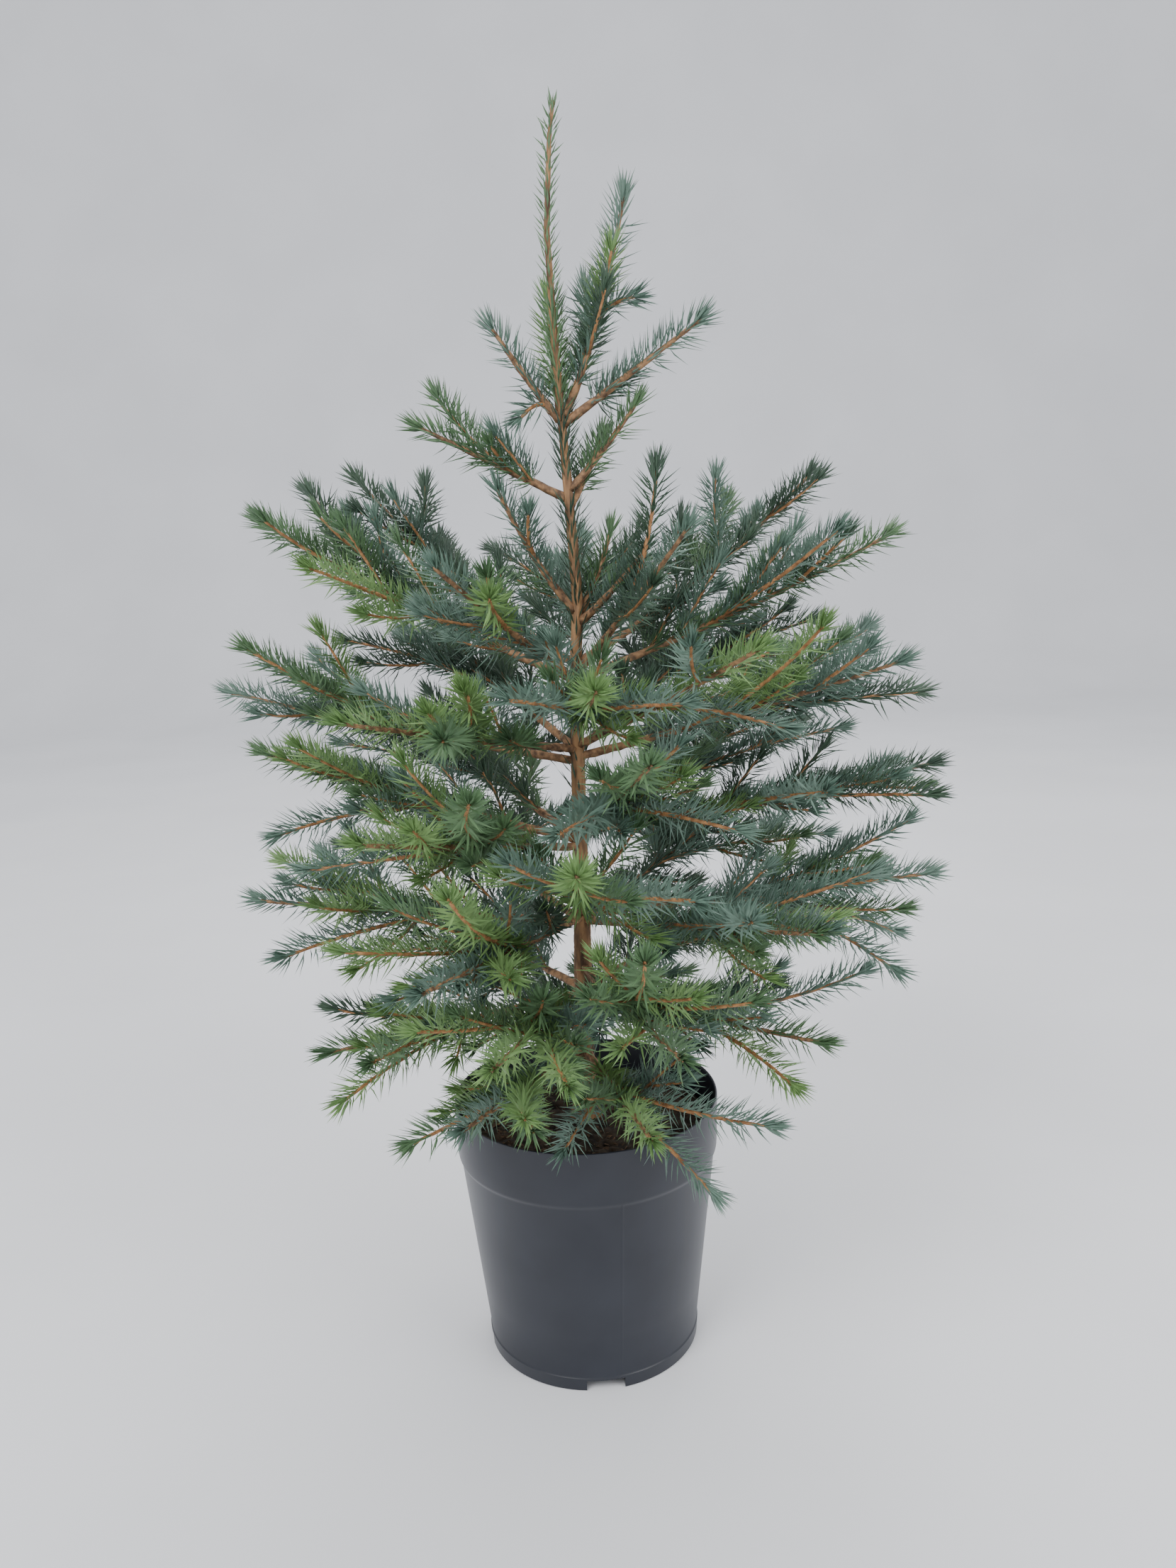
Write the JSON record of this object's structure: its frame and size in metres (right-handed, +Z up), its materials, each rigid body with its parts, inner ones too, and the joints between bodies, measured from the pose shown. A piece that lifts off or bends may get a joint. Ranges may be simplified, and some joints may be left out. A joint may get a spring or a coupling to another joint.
{
  "type": "potted serbian spruce",
  "caption": "Young potted spruce: a straight trunk with a long leader, whorls of upswept needled boughs in a narrow cone, and a tapered round nursery pot with a collar and a notched foot.",
  "frame": {"origin": "middle of the pot's flat underside, on the ground", "axes": "+Z up along the trunk, +X to the right and -Y towards the front"},
  "size_m": [0.478, 0.4035, 0.794],
  "materials": {
    "pot": "satin moulded plastic",
    "soil": "moist bark and peat mix",
    "bark": "ridged, dry",
    "needles": "soft satin"
  },
  "bodies": {
    "root": {"bough_w4_left": "bark", "bough_w4_right": "bark", "bough_w5_right": "bark", "bough_w6_left": "bark", "bough_w6_right": "bark", "bough_w7_left": "bark", "bough_w7_right": "bark", "mass_w1_back": "needles", "mass_w1_left": "needles", "mass_w1_right": "needles", "mass_w1_tall": "needles", "mass_w2_back": "needles", "mass_w2_left": "needles", "mass_w2_right": "needles", "mass_w3_back": "needles", "mass_w3_left": "needles", "mass_w3_right": "needles", "mass_w3_right_back": "needles", "mass_w4_back": "needles", "mass_w4_front_left": "needles", "mass_w4_front_right": "needles", "mass_w4_left": "needles", "mass_w4_left_back": "needles", "mass_w4_right": "needles", "mass_w4_right_back": "needles", "mass_w5_back_left": "needles", "mass_w5_back_right": "needles", "mass_w5_front": "needles", "mass_w5_front_left": "needles", "mass_w5_front_right": "needles", "mass_w5_left": "needles", "mass_w5_right": "needles", "mass_w6_back_left": "needles", "mass_w6_back_right": "needles", "mass_w6_front": "needles", "mass_w6_front_left": "needles", "mass_w6_left": "needles", "mass_w6_right": "needles", "mass_w7_back_left": "needles", "mass_w7_back_right": "needles", "mass_w7_front": "needles", "mass_w7_front_left": "needles", "mass_w7_front_right": "needles", "mass_w7_left": "needles", "mass_w7_right": "needles", "mass_w8_back_left": "needles", "mass_w8_back_right": "needles", "mass_w8_front": "needles", "mass_w8_front_right": "needles", "mass_w8_left": "needles", "mass_w8_right": "needles", "mass_w9_back": "needles", "mass_w9_front_left": "needles", "mass_w9_front_right": "needles", "needles_leader": "needles", "needles_middle": "needles", "needles_upper": "needles", "pot": "pot", "soil": "soil", "trunk": "bark"}
  },
  "joints": []
}
